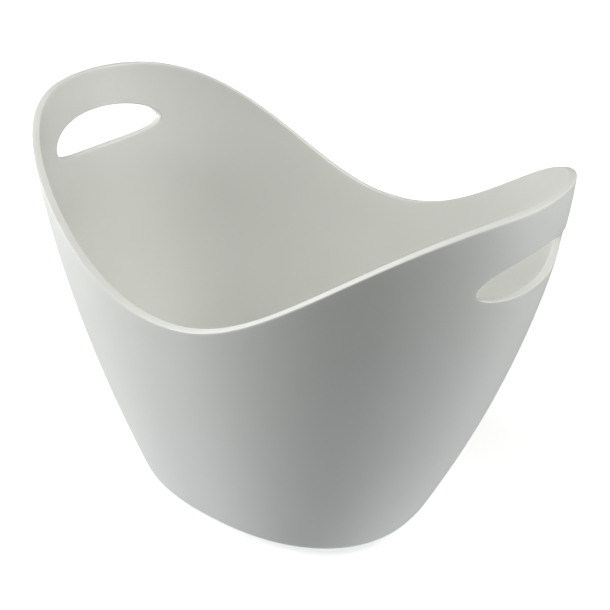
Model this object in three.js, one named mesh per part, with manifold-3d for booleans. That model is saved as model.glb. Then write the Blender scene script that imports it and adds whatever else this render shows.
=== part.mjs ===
// Newborn bath tub: a deep one-piece oval tub whose rim rises into a carrying end at each side of
// its length, with a hand-hold cut through each end, four grip feet under the floor and a soft
// floor pad that lifts out.
//
// Millimetres, +Z up. The origin is on the ground under the middle of the tub. X runs along the
// length, so the hand-holds are at +X and -X, and Y runs across the width.
import * as THREE from 'three';
import { mergeVertices } from 'three/addons/utils/BufferGeometryUtils.js';
import Module from 'manifold-3d';

const wasm = await Module();
wasm.setup();

// ---- Overall sizes --------------------------------------------------------------------------
const LENGTH = 420; // over the rim, hand-hold to hand-hold
const WIDTH = 291; // over the rim, across the middle
const END_HEIGHT = 300; // ground to the rim over a hand-hold
const SIDE_HEIGHT = 200; // ground to the lowest point of the rim
const BASE_LENGTH = 242; // the walls carried down to the underside, before the corner is rounded
const BASE_WIDTH = 188;

// ---- Shape of the walls ---------------------------------------------------------------------
const END_BELLY = 1.63; // 1 gives straight ends in side view, more gives rounder ones
const SIDE_BELLY = 1.43; // the same for the long sides
const BASE_SQUARENESS = 2.3; // exponent of the oval at the base, where 2 is an ellipse
const RIM_SQUARENESS = 2.04; // and at the rim
const RIM_SHOULDER = 0.8; // how soon the rim climbs from the low sides to the high ends
const CORNER_RADIUS = 14; // between the underside and the walls

// ---- Walls ----------------------------------------------------------------------------------
const FLOOR_THICKNESS = 3.6;
const WALL_THICKNESS = 3.2;
const RIM_THICKNESS = 6;
const RIM_FLATNESS = 3.2; // exponent of the rim's cross-section, where 2 is a half round
const RIM_BAND = 66; // depth of the strong band below the rim
const RIM_BLEND = 60; // over which the band thins to the plain wall

// ---- Hand-holds, as seen from straight beyond the end ------------------------------------------
const HOLD_WIDTH = 117;
const HOLD_HEIGHT = 31;
const HOLD_DROP = 47.5; // rim to the middle of the opening
const HOLD_SQUARENESS = 2.1;
const HOLD_ARCH = 1.8; // how far its two tips lie below its middle
const HOLD_REACH = 60; // depth of the cut that opens it, measured in from the end

// ---- Grip feet ------------------------------------------------------------------------------
const FOOT_DIAMETER = 26;
const FOOT_THICKNESS = 3.6;
const FOOT_PROUD = 2; // how far a foot stands below the shell
const FOOT_LENGTH_PITCH = 132; // centre to centre
const FOOT_WIDTH_PITCH = 92;
const FOOT_CHAMFER = 0.8;

// ---- Floor pad ------------------------------------------------------------------------------
const PAD_THICKNESS = 7;
const PAD_MARGIN = 2.5; // between the pad and where the floor starts to curve up
const PAD_ROUND = 2.5; // edge radius of its top
const NOTCH_RADIUS = 11; // finger notch in the pad's edge, for lifting it

// ---- Assembly and faceting ------------------------------------------------------------------
const GAP = 0.3; // between pieces that touch
const AROUND = 80; // facets around the tub
const UP = 12; // rings up a wall
const CORNER_STEPS = 4;
const RIM_STEPS = 5;

const PLASTIC = new THREE.MeshStandardMaterial({ color: 0xe9e7e2, roughness: 0.42, metalness: 0 });
const GRIP = new THREE.MeshStandardMaterial({ color: 0xb9bbb9, roughness: 0.8, metalness: 0 });
const SOFT = new THREE.MeshStandardMaterial({ color: 0xcfd3d0, roughness: 0.75, metalness: 0 });

// ---- The tub's outer skin -------------------------------------------------------------------

const signedPower = (value, power) => Math.sign(value) * Math.abs(value) ** power;

const smoothstep = (value) => {
  const t = THREE.MathUtils.clamp(value, 0, 1);
  return t * t * (3 - 2 * t);
};

// How far a wall has leaned out at a height: 0 at the underside and 1 at the top of the ends.
function lean(height, belly) {
  const t = THREE.MathUtils.clamp((height - FOOT_PROUD) / (END_HEIGHT - FOOT_PROUD), 0, 1);
  return 1 - (1 - t) ** belly;
}

const halfLengthAt = (height) =>
  THREE.MathUtils.lerp(BASE_LENGTH / 2, LENGTH / 2, lean(height, END_BELLY));

const halfWidthAt = (height) =>
  THREE.MathUtils.lerp(
    BASE_WIDTH / 2,
    WIDTH / 2,
    lean(height, SIDE_BELLY) / lean(SIDE_HEIGHT, SIDE_BELLY),
  );

const squarenessAt = (height) => THREE.MathUtils.lerp(BASE_SQUARENESS, RIM_SQUARENESS, lean(height, 1));

// Height of the rim around the tub. The angle is 0 at the +X hand-hold.
function rimHeight(angle) {
  const c2 = Math.cos(angle) ** 2;
  return SIDE_HEIGHT + (END_HEIGHT - SIDE_HEIGHT) * (c2 + RIM_SHOULDER * (c2 - c2 * c2));
}

function skinPoint(angle, height) {
  const power = 2 / squarenessAt(height);
  return new THREE.Vector3(
    halfLengthAt(height) * signedPower(Math.cos(angle), power),
    halfWidthAt(height) * signedPower(Math.sin(angle), power),
    height,
  );
}

const slopeUp = (angle, height) =>
  skinPoint(angle, height + 0.5).sub(skinPoint(angle, height - 0.5)).normalize();

function skinNormal(angle, height) {
  const around = skinPoint(angle + 0.01, height).sub(skinPoint(angle - 0.01, height));
  return around.cross(slopeUp(angle, height)).normalize();
}

// ---- Building closed bodies from rings --------------------------------------------------------

// Joins rings of equal length into one closed body. The first and the last ring are closed by a fan
// to a point in their middle.
function bodyFromRings(rings) {
  const count = rings[0].length;
  const middle = (ring) =>
    ring.reduce((sum, point) => sum.add(point), new THREE.Vector3()).divideScalar(count);
  const points = [middle(rings[0]), ...rings.flat(), middle(rings.at(-1))];
  const at = (ring, step) => 1 + ring * count + (step % count);
  const faces = [];
  for (let step = 0; step < count; step += 1) {
    faces.push(0, at(0, step + 1), at(0, step));
    for (let ring = 0; ring + 1 < rings.length; ring += 1) {
      faces.push(at(ring, step), at(ring, step + 1), at(ring + 1, step + 1));
      faces.push(at(ring, step), at(ring + 1, step + 1), at(ring + 1, step));
    }
    faces.push(at(rings.length - 1, step), at(rings.length - 1, step + 1), points.length - 1);
  }
  const geometry = new THREE.BufferGeometry().setFromPoints(points);
  geometry.setIndex(faces);
  return geometry;
}

const ringOf = (count, pointAt) =>
  Array.from({ length: count }, (_, step) => pointAt((2 * Math.PI * (step + 0.5)) / count));

// ---- Joining and cutting ------------------------------------------------------------------------

function solidOf(geometry) {
  const plain = geometry.clone();
  plain.deleteAttribute('normal');
  plain.deleteAttribute('uv');
  const merged = mergeVertices(plain, 1e-5);
  return new wasm.Manifold(
    new wasm.Mesh({
      numProp: 3,
      vertProperties: Float32Array.from(merged.attributes.position.array),
      triVerts: Uint32Array.from(merged.index.array),
    }),
  );
}

function geometryOf(solid) {
  const { vertProperties, triVerts } = solid.getMesh();
  const geometry = new THREE.BufferGeometry();
  geometry.setAttribute('position', new THREE.BufferAttribute(vertProperties, 3));
  geometry.setIndex(new THREE.BufferAttribute(triVerts, 1));
  geometry.computeVertexNormals();
  return geometry;
}

const cut = (geometry, cutters) =>
  geometryOf(cutters.reduce((solid, cutter) => solid.subtract(solidOf(cutter)), solidOf(geometry)));

// ---- Tub shell ----------------------------------------------------------------------------------

function wallThickness(angle, height) {
  const depth = rimHeight(angle) - height;
  const band = 1 - smoothstep((depth - RIM_BAND) / RIM_BLEND);
  return THREE.MathUtils.lerp(WALL_THICKNESS, RIM_THICKNESS, band);
}

// Height where the wall meets the arc that rounds it into the underside.
function wallStart(angle) {
  const steepness = skinNormal(angle, FOOT_PROUD + CORNER_RADIUS / 2).z;
  return FOOT_PROUD + CORNER_RADIUS * (1 + steepness);
}

// The bottom corner, from flat underneath (share 0) to the wall (share 1). The outer and the inner
// skin are arcs about one centre, so each runs into its wall without a crease.
function cornerPoint(angle, share, radius) {
  const height = wallStart(angle);
  const outward = skinNormal(angle, height);
  const centre = skinPoint(angle, height).addScaledVector(outward, -CORNER_RADIUS);
  centre.z = FOOT_PROUD + CORNER_RADIUS;
  const fall = THREE.MathUtils.lerp(-Math.PI / 2, Math.asin(outward.z), share);
  const level = new THREE.Vector3(outward.x, outward.y, 0).normalize();
  return centre
    .addScaledVector(level, radius * Math.cos(fall))
    .add(new THREE.Vector3(0, 0, radius * Math.sin(fall)));
}

function rimPoint(angle, turn) {
  const radius = RIM_THICKNESS / 2;
  const height = rimHeight(angle) - radius;
  const outward = skinNormal(angle, height);
  return skinPoint(angle, height)
    .addScaledVector(outward, radius * (signedPower(Math.cos(turn), 2 / RIM_FLATNESS) - 1))
    .addScaledVector(slopeUp(angle, height), radius * Math.sin(turn) ** (2 / RIM_FLATNESS));
}

function shellRings() {
  const wallHeight = (angle, share) =>
    THREE.MathUtils.lerp(wallStart(angle), rimHeight(angle) - RIM_THICKNESS / 2, share);
  const rings = [];
  for (let step = 0; step < CORNER_STEPS; step += 1) {
    rings.push(ringOf(AROUND, (angle) => cornerPoint(angle, step / CORNER_STEPS, CORNER_RADIUS)));
  }
  for (let step = 0; step <= UP; step += 1) {
    rings.push(ringOf(AROUND, (angle) => skinPoint(angle, wallHeight(angle, step / UP))));
  }
  for (let step = 1; step < RIM_STEPS; step += 1) {
    rings.push(ringOf(AROUND, (angle) => rimPoint(angle, (Math.PI * step) / RIM_STEPS)));
  }
  for (let step = UP; step > 0; step -= 1) {
    rings.push(
      ringOf(AROUND, (angle) => {
        const height = wallHeight(angle, step / UP);
        const inward = -wallThickness(angle, height);
        return skinPoint(angle, height).addScaledVector(skinNormal(angle, height), inward);
      }),
    );
  }
  for (let step = CORNER_STEPS; step >= 0; step -= 1) {
    const share = step / CORNER_STEPS;
    const thickness = THREE.MathUtils.lerp(FLOOR_THICKNESS, WALL_THICKNESS, share);
    rings.push(ringOf(AROUND, (angle) => cornerPoint(angle, share, CORNER_RADIUS - thickness)));
  }
  return rings;
}

// A plug that fills a hand-hold. It lies along X, as the side core of the mould does.
function holdPlug(side) {
  const middle = END_HEIGHT - HOLD_DROP;
  const outline = (x) =>
    ringOf(36, (turn) => {
      const y = (HOLD_WIDTH / 2) * signedPower(Math.cos(turn), 2 / HOLD_SQUARENESS);
      const rise = (HOLD_HEIGHT / 2) * signedPower(Math.sin(turn), 2 / HOLD_SQUARENESS);
      return new THREE.Vector3(side * x, side * y, middle + rise - HOLD_ARCH * ((2 * y) / HOLD_WIDTH) ** 2);
    });
  return bodyFromRings([outline(LENGTH / 2 - HOLD_REACH), outline(LENGTH / 2 + GAP)]);
}

const footCentres = [
  ['foot_front_left', -1, -1],
  ['foot_front_right', 1, -1],
  ['foot_rear_left', -1, 1],
  ['foot_rear_right', 1, 1],
].map(([name, sideX, sideY]) => ({
  name,
  x: (sideX * FOOT_LENGTH_PITCH) / 2,
  y: (sideY * FOOT_WIDTH_PITCH) / 2,
}));

// Shallow round seats in the underside, one for each foot.
function footSeats() {
  const depth = FOOT_THICKNESS - FOOT_PROUD + GAP;
  return footCentres.map(({ x, y }) =>
    new THREE.CylinderGeometry(FOOT_DIAMETER / 2 + GAP, FOOT_DIAMETER / 2 + GAP, depth + 1, 24)
      .rotateX(Math.PI / 2)
      .translate(x, y, FOOT_PROUD + (depth - 1) / 2),
  );
}

function tubShell() {
  const geometry = cut(bodyFromRings(shellRings()), [holdPlug(1), holdPlug(-1), ...footSeats()]);
  const mesh = new THREE.Mesh(geometry, PLASTIC);
  mesh.name = 'tub_shell';
  return mesh;
}

// ---- Grip feet ----------------------------------------------------------------------------------

function gripFoot({ name, x, y }) {
  const radius = FOOT_DIAMETER / 2;
  const profile = [
    new THREE.Vector2(0, 0),
    new THREE.Vector2(radius - FOOT_CHAMFER, 0),
    new THREE.Vector2(radius, FOOT_CHAMFER),
    new THREE.Vector2(radius, FOOT_THICKNESS),
    new THREE.Vector2(0, FOOT_THICKNESS),
  ];
  const mesh = new THREE.Mesh(new THREE.LatheGeometry(profile, 24).rotateX(Math.PI / 2), GRIP);
  mesh.name = name;
  mesh.position.set(x, y, 0);
  return mesh;
}

// ---- Floor pad ----------------------------------------------------------------------------------

// The pad follows the flat of the floor, which ends where the inner corner starts to curve up.
function padRing(inset, height) {
  return ringOf(48, (angle) => {
    const edge = cornerPoint(angle, 0, CORNER_RADIUS - FLOOR_THICKNESS);
    const inward = new THREE.Vector3(edge.x, edge.y, 0).normalize();
    return edge.addScaledVector(inward, -(PAD_MARGIN + inset)).setZ(height);
  });
}

function floorPad() {
  const bottom = FOOT_PROUD + FLOOR_THICKNESS + GAP;
  const top = bottom + PAD_THICKNESS;
  const rings = [padRing(0, bottom), padRing(0, top - PAD_ROUND)];
  for (let step = 1; step <= 3; step += 1) {
    const turn = (Math.PI / 2) * (step / 3);
    const inset = PAD_ROUND * (1 - Math.cos(turn));
    rings.push(padRing(inset, top - PAD_ROUND * (1 - Math.sin(turn))));
  }
  const notchDepth = PAD_THICKNESS * 3;
  const notch = new THREE.CylinderGeometry(NOTCH_RADIUS, NOTCH_RADIUS, notchDepth, 24)
    .rotateX(Math.PI / 2)
    .translate(rings[0][0].x, 0, bottom);
  const mesh = new THREE.Mesh(cut(bodyFromRings(rings), [notch]), SOFT);
  mesh.name = 'floor_pad';
  return mesh;
}

// ---- Assembly -----------------------------------------------------------------------------------

const tub = new THREE.Group();
tub.name = 'newborn_bath_tub';
tub.add(tubShell(), ...footCentres.map(gripFoot), floorPad());

export default tub;
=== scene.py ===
"""A newborn's bath tub: its looks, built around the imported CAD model.

Metres, +Z up. The tub stands at the origin, with its hand-holds at +X and -X. The tub's moulding
follows the same skin as the CAD solid, as a fine quad mesh with rounded edges.
"""

import math

import bmesh
import bpy
import numpy as np
from mathutils import Matrix, Vector


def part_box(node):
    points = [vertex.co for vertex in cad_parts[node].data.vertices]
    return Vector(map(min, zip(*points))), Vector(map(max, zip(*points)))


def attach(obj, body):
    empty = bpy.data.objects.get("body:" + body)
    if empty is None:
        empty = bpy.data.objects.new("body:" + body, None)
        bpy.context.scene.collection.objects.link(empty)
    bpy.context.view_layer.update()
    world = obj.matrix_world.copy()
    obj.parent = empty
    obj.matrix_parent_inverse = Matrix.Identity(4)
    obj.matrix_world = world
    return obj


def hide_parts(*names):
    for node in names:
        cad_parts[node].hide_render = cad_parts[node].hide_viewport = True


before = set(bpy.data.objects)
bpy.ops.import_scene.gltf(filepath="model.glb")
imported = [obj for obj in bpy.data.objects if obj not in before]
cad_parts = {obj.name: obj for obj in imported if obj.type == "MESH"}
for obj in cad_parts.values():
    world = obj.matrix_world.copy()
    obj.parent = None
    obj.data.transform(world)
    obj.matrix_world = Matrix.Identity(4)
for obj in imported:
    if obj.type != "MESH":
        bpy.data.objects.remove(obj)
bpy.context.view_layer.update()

# ---- Sizes shared with the CAD model ------------------------------------------------------------
LENGTH = 0.420
WIDTH = 0.291
END_HEIGHT = 0.300
SIDE_HEIGHT = 0.200
BASE_LENGTH = 0.242
BASE_WIDTH = 0.188
END_BELLY = 1.63
SIDE_BELLY = 1.43
BASE_SQUARENESS = 2.3
RIM_SQUARENESS = 2.04
RIM_SHOULDER = 0.8
CORNER_RADIUS = 0.014
FLOOR_THICKNESS = 0.0036
WALL_THICKNESS = 0.0032
RIM_THICKNESS = 0.006
RIM_BAND = 0.066
RIM_BLEND = 0.060
HOLD_WIDTH = 0.117
HOLD_HEIGHT = 0.031
HOLD_DROP = 0.0475
HOLD_SQUARENESS = 2.1
HOLD_ARCH = 0.0018
FOOT_DIAMETER = 0.026
FOOT_THICKNESS = 0.0036
FOOT_PROUD = 0.002
PAD_MARGIN = 0.0025
NOTCH_RADIUS = 0.011
GAP = 0.0003
FEET = ("foot_front_left", "foot_front_right", "foot_rear_left", "foot_rear_right")

# ---- Finish of the visible pieces ---------------------------------------------------------------
RIM_FLATNESS = 6.0  # the CAD rim is rounder, at 3.2, and within 0.4 mm of this one
HOLD_OUTER_ROUND = 0.0009
HOLD_INNER_ROUND = 0.0014
SEAT_CHAMFER = 0.0004
GATE_RADIUS = 0.005  # the mark where the plastic was injected, under the floor
GATE_DEPTH = 0.0005
GROOVE_DEPTH = 0.0006  # of the grooves in each foot's sole
PAD_BOTTOM_ROUND = 0.0012
PAD_TOP_ROUND = 0.0030
PAD_CROWN = 0.0008  # how far the pad's middle stands above its edge
CORNER_WEAR = 0.8

# ---- Fineness of the mesh -----------------------------------------------------------------------
COLUMNS = 256
ROWS = 72
HOLD_COLUMNS = 22  # columns of the wall's grid left open on each side of a hand-hold
HOLD_ROWS = (52, 69)  # rows between which they are left open
HOLD_RINGS = 7
ARC_STEPS = 6
CORNER_STEPS = 8
RIM_STEPS = 14
FLOOR_RINGS = (0.8, 0.5, 0.2)  # each ring of points on the floor, as a share of its edge
HEIGHT_STEP = 0.0005  # the small steps that slopes and directions are measured over
ANGLE_STEP = 0.01
TURN_STEP = 0.02


# ---- The tub's outer skin -----------------------------------------------------------------------
def signed_power(value, power):
    return np.sign(value) * np.abs(value) ** power


def lean(height, belly):
    """How far a wall has leaned out: 0 at the underside and 1 at the top of the ends."""
    share = np.clip((height - FOOT_PROUD) / (END_HEIGHT - FOOT_PROUD), 0, 1)
    return 1 - (1 - share) ** belly


def half_length(height):
    return BASE_LENGTH / 2 + (LENGTH - BASE_LENGTH) / 2 * lean(height, END_BELLY)


def half_width(height):
    share = lean(height, SIDE_BELLY) / lean(SIDE_HEIGHT, SIDE_BELLY)
    return BASE_WIDTH / 2 + (WIDTH - BASE_WIDTH) / 2 * share


def squareness(height):
    return BASE_SQUARENESS + (RIM_SQUARENESS - BASE_SQUARENESS) * lean(height, 1)


def rim_height(angle):
    c2 = np.cos(angle) ** 2
    return SIDE_HEIGHT + (END_HEIGHT - SIDE_HEIGHT) * (c2 + RIM_SHOULDER * (c2 - c2 * c2))


def skin(angle, height):
    power = 2 / squareness(height)
    x = half_length(height) * signed_power(np.cos(angle), power)
    y = half_width(height) * signed_power(np.sin(angle), power)
    return np.stack(np.broadcast_arrays(x, y, height), -1)


def unit(vectors):
    return vectors / np.linalg.norm(vectors, axis=-1, keepdims=True)


def slope_up(angle, height):
    return unit(skin(angle, height + HEIGHT_STEP) - skin(angle, height - HEIGHT_STEP))


def normal(angle, height):
    around = skin(angle + ANGLE_STEP, height) - skin(angle - ANGLE_STEP, height)
    return unit(np.cross(around, slope_up(angle, height)))


def smoothstep(value):
    share = np.clip(value, 0, 1)
    return share * share * (3 - 2 * share)


def wall_thickness(angle, height):
    depth = rim_height(angle) - height
    band = 1 - smoothstep((depth - RIM_BAND) / RIM_BLEND)
    return WALL_THICKNESS + (RIM_THICKNESS - WALL_THICKNESS) * band


def inner_skin(angle, height):
    thickness = wall_thickness(angle, height)[..., None]
    return skin(angle, height) - normal(angle, height) * thickness


# ---- Building a closed surface from loops -------------------------------------------------------
class Surface:
    """Points with a wear value each, and the faces between them."""

    def __init__(self):
        self.points = []
        self.wear = []
        self.faces = []

    def loop(self, points, wear=0.0):
        start = len(self.points)
        self.points.extend(map(tuple, np.asarray(points, float)))
        self.wear.extend(np.broadcast_to(wear, len(points)))
        return list(range(start, start + len(points)))

    def bridge(self, first, second):
        for i in range(len(first)):
            j = (i + 1) % len(first)
            self.faces.append((first[i], first[j], second[j], second[i]))

    def chain(self, loops):
        for first, second in zip(loops, loops[1:]):
            self.bridge(first, second)

    def fan(self, loop, upward):
        middle = np.mean([self.points[i] for i in loop], 0)
        tip = self.loop([middle])[0]
        for i, start in enumerate(loop):
            end = loop[(i + 1) % len(loop)]
            self.faces.append((start, end, tip) if upward else (end, start, tip))

    def mesh(self, name, sharp_angle=40):
        mesh = bpy.data.meshes.new(name)
        mesh.from_pydata(self.points, [], self.faces)
        mesh.attributes.new("wear", "FLOAT", "POINT").data.foreach_set("value", self.wear)
        mesh.validate()
        mesh.shade_smooth()
        mesh.set_sharp_from_angle(angle=math.radians(sharp_angle))
        return mesh


def circle(radius, height, centre=(0, 0), count=48):
    turn = np.linspace(0, 2 * math.pi, count, endpoint=False)
    x = centre[0] + radius * np.cos(turn)
    y = centre[1] + radius * np.sin(turn)
    return np.stack([x, y, np.full(count, height)], -1)


# ---- Tub moulding -------------------------------------------------------------------------------
column_angles = 2 * math.pi * np.arange(COLUMNS) / COLUMNS
hold_middle = END_HEIGHT - HOLD_DROP
OUTWARD = np.array([1.0, 0.0, 0.0])  # the way the hand-hold at +X is cut


def wall_start(angle):
    steepness = normal(angle, FOOT_PROUD + CORNER_RADIUS / 2)[..., 2]
    return FOOT_PROUD + CORNER_RADIUS * (1 + steepness)


def wall_height(angle, share):
    start = wall_start(angle)
    return start + (rim_height(angle) - RIM_THICKNESS / 2 - start) * share


def corner_points(angle, share, radius):
    """The bottom corner, from flat underneath (share 0) to the wall (share 1)."""
    height = wall_start(angle)
    outward = normal(angle, height)
    centre = skin(angle, height) - outward * CORNER_RADIUS
    centre[:, 2] = FOOT_PROUD + CORNER_RADIUS
    fall = -math.pi / 2 + (np.arcsin(outward[:, 2]) + math.pi / 2) * share
    level = unit(outward * [1, 1, 0])
    up = np.array([0, 0, 1])
    return centre + radius * (np.cos(fall)[:, None] * level + np.sin(fall)[:, None] * up)


def rim_points(angle, turn):
    radius = RIM_THICKNESS / 2
    height = rim_height(angle) - radius
    across = radius * (signed_power(math.cos(turn), 2 / RIM_FLATNESS) - 1)
    rise = radius * math.sin(turn) ** (2 / RIM_FLATNESS)
    return skin(angle, height) + across * normal(angle, height) + rise * slope_up(angle, height)


def add_wall(surface, skin_at):
    """The wall's rows of points, from the bottom corner up to the rim."""
    heights = [wall_height(column_angles, row / ROWS) for row in range(ROWS + 1)]
    return [surface.loop(skin_at(column_angles, height)) for height in heights]


def in_hold(row, column):
    low, high = HOLD_ROWS
    offset = (column + HOLD_COLUMNS) % (COLUMNS // 2)
    return low <= row < high and offset < 2 * HOLD_COLUMNS


def face_wall(surface, rows, outward):
    for row in range(ROWS):
        for column in range(COLUMNS):
            if in_hold(row, column):
                continue
            after = (column + 1) % COLUMNS
            lower, upper = rows[row], rows[row + 1]
            face = (lower[column], lower[after], upper[after], upper[column])
            surface.faces.append(face if outward else face[::-1])


def gap_border(end):
    """(row, column) of each grid point around a hand-hold's gap, anticlockwise from outside."""
    low, high = HOLD_ROWS
    left, right = -HOLD_COLUMNS, HOLD_COLUMNS
    border = [(low, column) for column in range(left, right)]
    border += [(row, right) for row in range(low, high)]
    border += [(high, column) for column in range(right, left, -1)]
    border += [(row, left) for row in range(high, low, -1)]
    shift = end * COLUMNS // 2
    return [(row, (column + shift) % COLUMNS) for row, column in border]


def hold_outline(turn, grow):
    """The opening's outline at +X as (y, z), widened by the given distance."""

    def plain(turn):
        y = HOLD_WIDTH / 2 * signed_power(np.cos(turn), 2 / HOLD_SQUARENESS)
        rise = HOLD_HEIGHT / 2 * signed_power(np.sin(turn), 2 / HOLD_SQUARENESS)
        return np.stack([y, hold_middle + rise - HOLD_ARCH * (2 * y / HOLD_WIDTH) ** 2], -1)

    along = unit(plain(turn + TURN_STEP) - plain(turn - TURN_STEP))
    return plain(turn) + grow * np.stack([along[:, 1], -along[:, 0]], -1)


def hold_turn(points):
    """The outline's angle that faces each point of the skin."""
    return np.arctan2((points[:, 2] - hold_middle) / HOLD_HEIGHT, points[:, 1] / HOLD_WIDTH)


def on_skin(turn, grow):
    """Where the widened outline meets the outer skin."""
    y, z = hold_outline(turn, grow).T
    power = squareness(z)
    x = half_length(z) * (1 - np.abs(y / half_width(z)) ** power) ** (1 / power)
    return np.stack([x, y, z], -1)


def skin_angle(points):
    share = np.clip(np.abs(points[:, 1]) / half_width(points[:, 2]), 0, 1)
    return np.arcsin(np.sign(points[:, 1]) * share ** (squareness(points[:, 2]) / 2))


def behind(points):
    """The point of the inner skin straight in from each outer one, and its angle and height."""
    angle, height = skin_angle(points), points[:, 2]
    for _ in range(4):
        facing = normal(angle, height)
        depth = wall_thickness(angle, height) / facing[:, 0]
        outside = points - depth[:, None] * OUTWARD
        outside = outside + facing * wall_thickness(angle, height)[:, None]
        angle, height = skin_angle(outside), outside[:, 2]
    return inner_skin(angle, height), angle, height


def arc(start, corner, end, steps=ARC_STEPS):
    """Loops that round a corner between two loops, both ends included."""
    shares = np.linspace(0, 1, steps)
    return [(1 - s) ** 2 * start + 2 * s * (1 - s) * corner + s * s * end for s in shares]


def hand_hold_loops(border_angle, border_height):
    """Loops from the gap in the outer grid, through the opening, to the gap in the inner grid."""
    turn = hold_turn(skin(border_angle, border_height))
    edge = on_skin(turn, 0.0)
    edge_inner, _, _ = behind(edge)
    rounded = on_skin(turn, HOLD_OUTER_ROUND)
    rounded_angle, rounded_height = skin_angle(rounded), rounded[:, 2]
    rounded_inner, inner_angle, inner_height = behind(on_skin(turn, HOLD_INNER_ROUND))
    shares = (np.arange(1, HOLD_RINGS) / HOLD_RINGS) ** 0.8
    loops = []
    for share in shares:
        angle = border_angle + (rounded_angle - border_angle) * share
        height = border_height + (rounded_height - border_height) * share
        loops.append((skin(angle, height), 0.0))
    for points in arc(rounded, edge, edge - HOLD_OUTER_ROUND * OUTWARD):
        loops.append((points, 1.0))
    for points in arc(edge_inner + HOLD_INNER_ROUND * OUTWARD, edge_inner, rounded_inner):
        loops.append((points, 1.0))
    for share in shares[::-1]:
        angle = border_angle + (inner_angle - border_angle) * share
        height = border_height + (inner_height - border_height) * share
        loops.append((inner_skin(angle, height), 0.0))
    return loops


def add_hand_hold(surface, outer_rows, inner_rows, end):
    border = gap_border(end)
    angle = np.array([column_angles[column] for _, column in gap_border(0)])
    angle = (angle + math.pi) % (2 * math.pi) - math.pi
    share = np.array([row / ROWS for row, _ in border])
    turned = np.array([-1, -1, 1]) if end else np.array([1, 1, 1])
    loops = [[outer_rows[row][column] for row, column in border]]
    for points, wear in hand_hold_loops(angle, wall_height(angle, share)):
        loops.append(surface.loop(points * turned, wear))
    loops.append([inner_rows[row][column] for row, column in border])
    surface.chain(loops)


def foot_centre(name):
    low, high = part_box(name)
    return ((low.x + high.x) / 2, (low.y + high.y) / 2)


def add_underside(surface, edge):
    """Adds each foot's seat and the injection mark, and returns the edges of the flat between."""
    edges = [edge]
    seat_depth = FOOT_THICKNESS - FOOT_PROUD + GAP
    seat_radius = FOOT_DIAMETER / 2 + GAP
    rounds = [(foot_centre(name), seat_radius, seat_depth) for name in FEET]
    rounds.append(((0.0, 0.0), GATE_RADIUS, GATE_DEPTH))
    for centre, radius, depth in rounds:
        mouth = circle(radius + SEAT_CHAMFER, FOOT_PROUD, centre)
        side = circle(radius, FOOT_PROUD + SEAT_CHAMFER, centre)
        top = circle(radius, FOOT_PROUD + depth, centre)
        loops = [surface.loop(points) for points in (mouth, side, top)]
        surface.chain(loops)
        surface.fan(loops[-1], upward=True)
        edges.append(loops[0])
    return edges


def fill_flat(mesh, loops):
    """Fills the flat space between the first loop and the others, facing down."""
    work = bmesh.new()
    work.from_mesh(mesh)
    work.verts.ensure_lookup_table()
    around = []
    for loop in loops:
        for i, start in enumerate(loop):
            end = loop[(i + 1) % len(loop)]
            around.append(work.edges.get((work.verts[start], work.verts[end])))
    filled = bmesh.ops.triangle_fill(work, edges=around, use_beauty=True, normal=(0, 0, -1))
    faces = [item for item in filled["geom"] if isinstance(item, bmesh.types.BMFace)]
    for face in faces:
        face.smooth = True
        if face.normal.z > 0:
            face.normal_flip()
    work.to_mesh(mesh)
    work.free()


def drop_loose_points(mesh):
    work = bmesh.new()
    work.from_mesh(mesh)
    bmesh.ops.delete(work, geom=[v for v in work.verts if not v.link_faces], context="VERTS")
    work.to_mesh(mesh)
    work.free()


def add_piece(name, mesh, body, nodes, material):
    piece = bpy.data.objects.new(name, mesh)
    bpy.context.scene.collection.objects.link(piece)
    mesh.materials.append(material)
    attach(piece, body)
    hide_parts(*nodes)
    return piece


def build_tub():
    surface = Surface()
    shares = np.arange(CORNER_STEPS) / CORNER_STEPS
    corner = []
    for share in shares:
        points = corner_points(column_angles, share, CORNER_RADIUS)
        corner.append(surface.loop(points, CORNER_WEAR * share))
    outer_rows = add_wall(surface, skin)
    turns = math.pi * np.arange(1, RIM_STEPS) / RIM_STEPS
    rim = [surface.loop(rim_points(column_angles, turn), 1.0) for turn in turns]
    inner_rows = add_wall(surface, inner_skin)
    inner_corner = []
    for share in shares[::-1]:
        thickness = FLOOR_THICKNESS + (WALL_THICKNESS - FLOOR_THICKNESS) * share
        points = corner_points(column_angles, share, CORNER_RADIUS - thickness)
        inner_corner.append(surface.loop(points))
    floor_edge = np.array([surface.points[i] for i in inner_corner[-1]])
    floor = [surface.loop(floor_edge * [share, share, 1]) for share in FLOOR_RINGS]
    surface.chain(corner + [outer_rows[0]])
    face_wall(surface, outer_rows, outward=True)
    surface.chain([outer_rows[-1]] + rim + [inner_rows[-1]])
    face_wall(surface, inner_rows, outward=False)
    surface.chain([inner_rows[0]] + inner_corner + floor)
    surface.fan(floor[-1], upward=True)
    for end in (0, 1):
        add_hand_hold(surface, outer_rows, inner_rows, end)
    flat_edges = add_underside(surface, corner[0])
    mesh = surface.mesh("tub_moulding")
    fill_flat(mesh, flat_edges)
    drop_loose_points(mesh)
    add_piece("tub_moulding", mesh, "tub", ["tub_shell"], plastic)


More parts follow.
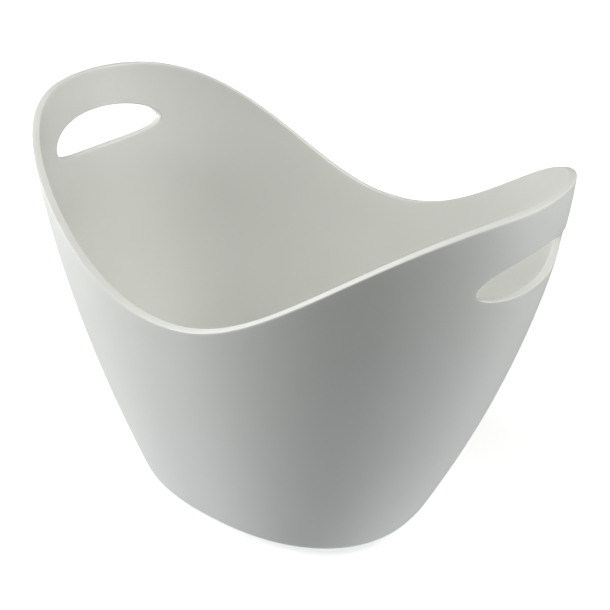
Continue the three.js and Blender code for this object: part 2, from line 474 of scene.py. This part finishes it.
# ---- Grip feet ----------------------------------------------------------------------------------
def build_foot(name):
    """A soft disc with rounded edges, a dished middle and two grooves around its sole."""
    radius = FOOT_DIAMETER / 2
    profile = [
        (0.12 * radius, GROOVE_DEPTH),
        (0.26 * radius, GROOVE_DEPTH),
        (0.32 * radius, 0.0),
        (0.50 * radius, 0.0),
        (0.54 * radius, GROOVE_DEPTH),
        (0.60 * radius, GROOVE_DEPTH),
        (0.64 * radius, 0.0),
        (0.76 * radius, 0.0),
        (0.80 * radius, GROOVE_DEPTH),
        (0.84 * radius, GROOVE_DEPTH),
        (0.88 * radius, 0.0),
        (0.94 * radius, 0.0),
        (0.98 * radius, 0.0003),
        (1.00 * radius, 0.0008),
        (1.00 * radius, FOOT_THICKNESS - 0.0003),
        (0.98 * radius, FOOT_THICKNESS),
        (0.50 * radius, FOOT_THICKNESS),
    ]
    surface = Surface()
    centre = foot_centre(name)
    loops = [surface.loop(circle(reach, height, centre)) for reach, height in profile]
    surface.chain(loops)
    surface.fan(loops[0], upward=False)
    surface.fan(loops[-1], upward=True)
    mesh = surface.mesh(f"{name}_grip", sharp_angle=50)
    add_piece(f"{name}_grip", mesh, "tub", [name], rubber)


# ---- Floor pad ----------------------------------------------------------------------------------
def pad_outline(count=288):
    """The pad's edge, drawn in from the flat of the floor, with a soft finger notch at +X."""
    angles = 2 * math.pi * (np.arange(count) + 0.5) / count
    flat = corner_points(angles, 0, CORNER_RADIUS - FLOOR_THICKNESS)[:, :2]
    flat -= unit(flat) * PAD_MARGIN
    reach = np.linalg.norm(flat, axis=1)
    facing = flat / reach[:, None]
    centre = np.array([reach.max(), 0])
    along = facing @ centre
    aside = np.abs(facing[:, 1]) * centre[0]
    chord = np.sqrt(np.clip(NOTCH_RADIUS**2 - aside**2, 0, None))
    inside = (aside < NOTCH_RADIUS) & (facing[:, 0] > 0)
    reach = np.where(inside, np.minimum(reach, along - chord), reach)
    for _ in range(3):
        reach = (np.roll(reach, 1) + 2 * reach + np.roll(reach, -1)) / 4
    return facing * reach[:, None]


def drawn_in(outline, distance):
    ahead = unit(np.roll(outline, -1, 0) - np.roll(outline, 1, 0))
    return outline + distance * np.stack([-ahead[:, 1], ahead[:, 0]], -1)


def build_pad():
    low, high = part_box("floor_pad")
    outline = pad_outline()
    surface = Surface()
    loops = []

    def ring(points, height):
        flat = np.column_stack([points, np.full(len(points), height)])
        loops.append(surface.loop(flat))

    for share in (0.3, 0.7):
        ring(outline * share, low.z)
    for turn in np.linspace(0, math.pi / 2, 5):
        inset = PAD_BOTTOM_ROUND * (1 - math.sin(turn))
        ring(drawn_in(outline, inset), low.z + PAD_BOTTOM_ROUND * (1 - math.cos(turn)))
    for turn in np.linspace(0, math.pi / 2, 9):
        inset = PAD_TOP_ROUND * (1 - math.cos(turn))
        ring(drawn_in(outline, inset), high.z - PAD_TOP_ROUND * (1 - math.sin(turn)))
    top = drawn_in(outline, PAD_TOP_ROUND)
    for share in (0.97, 0.92, 0.84, 0.72, 0.56, 0.38, 0.2):
        ring(top * share, high.z + PAD_CROWN * (1 - share**2))
    surface.chain(loops)
    surface.fan(loops[0], upward=False)
    surface.fan(loops[-1], upward=True)
    mesh = surface.mesh("floor_pad_foam")
    pad = add_piece("floor_pad_foam", mesh, "pad", ["floor_pad"], foam)


# ---- Materials ----------------------------------------------------------------------------------
class Shader:
    """A Principled material with a few helpers for its node tree."""

    def __init__(self, name, **settings):
        self.material = bpy.data.materials.new(name)
        self.material.use_nodes = True
        self.tree = self.material.node_tree
        self.surface = self.tree.nodes["Principled BSDF"]
        for key, value in settings.items():
            self.surface.inputs[key.replace("_", " ")].default_value = value

    def node(self, kind, **inputs):
        node = self.tree.nodes.new(kind)
        for key, value in inputs.items():
            self.connect(value, node.inputs[key.replace("_", " ")])
        return node

    def connect(self, value, socket):
        if isinstance(value, bpy.types.NodeSocket):
            self.tree.links.new(value, socket)
        else:
            socket.default_value = value

    def place(self):
        return self.node("ShaderNodeTexCoord").outputs["Object"]

    def noise(self, size, detail=2.0, roughness=0.5):
        """Noise whose lumps are about the given size in metres."""
        node = self.node("ShaderNodeTexNoise", Vector=self.place(), Scale=1 / size)
        node.inputs["Detail"].default_value = detail
        node.inputs["Roughness"].default_value = roughness
        return node.outputs["Fac"]

    def spread(self, value, low, high, start=0.0, end=1.0):
        node = self.node("ShaderNodeMapRange", Value=value)
        node.inputs["From Min"].default_value = start
        node.inputs["From Max"].default_value = end
        node.inputs["To Min"].default_value = low
        node.inputs["To Max"].default_value = high
        return node.outputs["Result"]

    def math(self, operation, first, second):
        node = self.tree.nodes.new("ShaderNodeMath")
        node.operation = operation
        self.connect(first, node.inputs[0])
        self.connect(second, node.inputs[1])
        return node.outputs[0]

    def mix(self, share, first, second):
        node = self.tree.nodes.new("ShaderNodeMix")
        node.data_type = "RGBA"
        self.connect(share, node.inputs["Factor"])
        self.connect(first, node.inputs[6])
        self.connect(second, node.inputs[7])
        return node.outputs[2]

    def bump(self, *layers):
        """Stacks (height, depth in metres) layers of relief onto the surface."""
        before = None
        for height, depth in layers:
            node = self.node("ShaderNodeBump", Height=height, Distance=depth, Strength=1.0)
            if before is not None:
                self.connect(before, node.inputs["Normal"])
            before = node.outputs["Normal"]
        self.connect(before, self.surface.inputs["Normal"])


def make_plastic():
    """Satin polypropylene: a fine spark-eroded grain, polished a little where hands hold it."""
    shader = Shader(
        "tub_plastic",
        IOR=1.49,
        Subsurface_Weight=0.12,
        Subsurface_Radius=(0.006, 0.006, 0.0055),
        Subsurface_Scale=1.0,
    )
    wear = shader.node("ShaderNodeAttribute")
    wear.attribute_name = "wear"
    handled = shader.math("MULTIPLY", wear.outputs["Fac"], shader.noise(0.02, 3.0))
    cloud = shader.noise(0.09, 2.0)
    speck = shader.spread(shader.noise(0.0025, 4.0, 0.7), 0, 1, 0.62, 0.78)
    clean = shader.mix(cloud, (0.775, 0.785, 0.755, 1), (0.80, 0.81, 0.785, 1))
    marked = shader.mix(shader.math("MULTIPLY", speck, 0.05), clean, (0.60, 0.59, 0.56, 1))
    colour = shader.mix(shader.math("MULTIPLY", handled, 0.5), marked, (0.86, 0.86, 0.85, 1))
    shader.connect(colour, shader.surface.inputs["Base Color"])
    satin = shader.spread(shader.noise(0.03, 4.0, 0.6), 0.40, 0.50, 0.3, 0.7)
    rough = shader.math("SUBTRACT", satin, shader.math("MULTIPLY", handled, 0.14))
    shader.connect(rough, shader.surface.inputs["Roughness"])
    shader.bump((shader.noise(0.05, 1.0), 0.00025), (shader.noise(0.0006, 2.0), 0.000025))
    return shader.material


def make_rubber():
    """Soft grip elastomer, matt, with dust in its pores."""
    shader = Shader("grip_rubber", IOR=1.5)
    dust = shader.spread(shader.noise(0.004, 5.0, 0.7), 0, 1, 0.45, 0.7)
    colour = shader.mix(dust, (0.42, 0.43, 0.42, 1), (0.50, 0.51, 0.50, 1))
    shader.connect(colour, shader.surface.inputs["Base Color"])
    shader.connect(shader.spread(dust, 0.72, 0.9), shader.surface.inputs["Roughness"])
    shader.bump((shader.noise(0.0005, 3.0), 0.00006))
    return shader.material


def make_foam():
    """Closed-cell foam with a skin of small round dimples, and shade painted darker into their
    hollows.
    """
    shader = Shader("soft_pad", IOR=1.45, Sheen_Weight=0.15, Sheen_Roughness=0.5)
    cells = shader.node("ShaderNodeTexVoronoi", Vector=shader.place(), Scale=1 / 0.0045)
    cells.inputs["Randomness"].default_value = 0.25
    dimple_and_painted_shade = shader.spread(cells.outputs["Distance"], 0, 1, 0.1, 0.55)
    cloud = shader.noise(0.03, 3.0)
    pale = shader.mix(cloud, (0.60, 0.63, 0.61, 1), (0.66, 0.69, 0.67, 1))
    # Painted shade: the colour darkens in the hollows, where the bump sinks the surface.
    colour = shader.mix(dimple_and_painted_shade, (0.52, 0.55, 0.53, 1), pale)
    shader.connect(colour, shader.surface.inputs["Base Color"])
    shader.connect(shader.spread(cloud, 0.62, 0.8), shader.surface.inputs["Roughness"])
    shader.bump((dimple_and_painted_shade, 0.0004), (shader.noise(0.0007, 2.0), 0.00004))
    return shader.material


# ---- Studio -------------------------------------------------------------------------------------
CAMERA_AZIMUTH = math.radians(36.68)
CAMERA_ELEVATION = math.radians(27.94)
CAMERA_ROLL = math.radians(1.37)
CAMERA_DISTANCE = 0.9128
CAMERA_ASIDE = 0.0132  # how far the camera stands to the right of the tub's middle
AIM_HEIGHT = 0.1547
LENS = 69.6
SENSOR_WIDTH = 36

away = Vector((math.sin(CAMERA_AZIMUTH), -math.cos(CAMERA_AZIMUTH), 0))
aside = Vector((math.cos(CAMERA_AZIMUTH), math.sin(CAMERA_AZIMUTH), 0))
UP = Vector((0, 0, 1))


def add_camera():
    back = away * math.cos(CAMERA_ELEVATION) + UP * math.sin(CAMERA_ELEVATION)
    over = back.cross(aside)
    turned = aside * math.cos(CAMERA_ROLL) + over * math.sin(CAMERA_ROLL)
    upward = over * math.cos(CAMERA_ROLL) - aside * math.sin(CAMERA_ROLL)
    camera = bpy.data.objects.new("camera", bpy.data.cameras.new("camera"))
    camera.data.lens = LENS
    camera.data.sensor_width = SENSOR_WIDTH
    place = UP * AIM_HEIGHT + back * CAMERA_DISTANCE + aside * CAMERA_ASIDE
    axes = Matrix((turned, upward, back)).transposed()
    camera.matrix_world = Matrix.Translation(place) @ axes.to_4x4()
    bpy.context.scene.collection.objects.link(camera)
    bpy.context.scene.camera = camera


WARM = (1.0, 0.985, 0.95)
COOL = (0.97, 0.99, 1.0)

# Each softbox: degrees round from the camera (positive to its right), distance, height, size,
# watts and colour.
SOFTBOXES = {
    "low_left": (-97, 1.70, 0.20, 0.9, 26.0, COOL),
    "high_left": (-90, 1.50, 1.70, 1.2, 13.0, WARM),
    "high_left_front": (-53, 1.50, 1.70, 1.2, 8.0, WARM),
    "high_front": (-15, 0.80, 2.20, 1.2, 12.0, WARM),
    "high_right": (90, 1.50, 1.70, 1.2, 22.0, WARM),
    "low_right": (78, 1.70, 0.20, 0.8, 11.5, COOL),
    "floor_bounce": (10, 0.30, -0.30, 0.6, 0.42, COOL),
}
FLOOR_GLOW = 0.64
FLOOR_COLOUR = (0.95, 1, 1.03, 1)
STUDIO_RADIUS = 9


def add_softbox(name, turn, distance, height, size, power, colour):
    light = bpy.data.lights.new(name, "AREA")
    light.size = size
    light.energy = power
    light.color = colour
    lamp = bpy.data.objects.new(name, light)
    turn = math.radians(turn)
    lamp.location = (away * math.cos(turn) + aside * math.sin(turn)) * distance + UP * height
    facing = UP * AIM_HEIGHT - lamp.location
    lamp.rotation_euler = facing.to_track_quat("-Z", "Y").to_euler()
    bpy.context.scene.collection.objects.link(lamp)


def add_world():
    """Dark above and bright from straight below: the light that a white floor sends back up."""
    world = bpy.data.worlds.new("studio")
    world.use_nodes = True
    tree = world.node_tree
    direction = tree.nodes.new("ShaderNodeTexCoord").outputs["Generated"]
    split = tree.nodes.new("ShaderNodeSeparateXYZ")
    glow = tree.nodes.new("ShaderNodeMapRange")
    glow.inputs["From Min"].default_value = -0.85
    glow.inputs["From Max"].default_value = -0.45
    glow.inputs["To Min"].default_value = FLOOR_GLOW
    glow.inputs["To Max"].default_value = 0
    tree.links.new(direction, split.inputs["Vector"])
    tree.links.new(split.outputs["Z"], glow.inputs["Value"])
    tree.links.new(glow.outputs["Result"], tree.nodes["Background"].inputs["Strength"])
    tree.nodes["Background"].inputs["Color"].default_value = FLOOR_COLOUR
    bpy.context.scene.world = world


def add_stage_piece(name, loops):
    """A matt white piece of the studio, which the tub doesn't get its light from.

    It glows a little more away from the tub, where the softboxes light it less.
    """
    surface = Surface()
    loops = [surface.loop(points) for points in loops]
    surface.chain(loops)
    surface.fan(loops[-1], upward=True)
    shader = Shader(name, Roughness=0.9)
    tone = shader.mix(shader.noise(0.8, 2.0), (0.86, 0.86, 0.86, 1), (0.88, 0.88, 0.88, 1))
    shader.connect(tone, shader.surface.inputs["Base Color"])
    shader.surface.inputs["Emission Color"].default_value = (1, 1, 1, 1)
    reach = shader.node("ShaderNodeVectorMath", Vector=shader.place())
    reach.operation = "LENGTH"
    glow = shader.spread(reach.outputs["Value"], 0.5, 1.0, 0.2, 1.0)
    shader.connect(glow, shader.surface.inputs["Emission Strength"])
    piece = bpy.data.objects.new(name, surface.mesh(name))
    piece.data.materials.append(shader.material)
    piece.visible_diffuse = False
    piece.visible_glossy = False
    piece.visible_shadow = False
    bpy.context.scene.collection.objects.link(piece)


def add_studio():
    bpy.context.scene.view_settings.view_transform = "Standard"
    add_world()
    floor = [circle(radius, 0.0, count=96) for radius in (STUDIO_RADIUS, 4, 1.5, 0.5)]
    add_stage_piece("studio_floor", floor)
    rise = np.linspace(0, 1.2, 12)
    backdrop = [circle(STUDIO_RADIUS * math.cos(t), STUDIO_RADIUS * math.sin(t)) for t in rise]
    add_stage_piece("studio_backdrop", backdrop)
    for name, setting in SOFTBOXES.items():
        add_softbox(name, *setting)
    add_camera()


plastic = make_plastic()
rubber = make_rubber()
foam = make_foam()
build_tub()
for foot in FEET:
    build_foot(foot)
build_pad()
add_studio()


def plain(bounds):
    return [list(map(float, corner)) for corner in bounds]
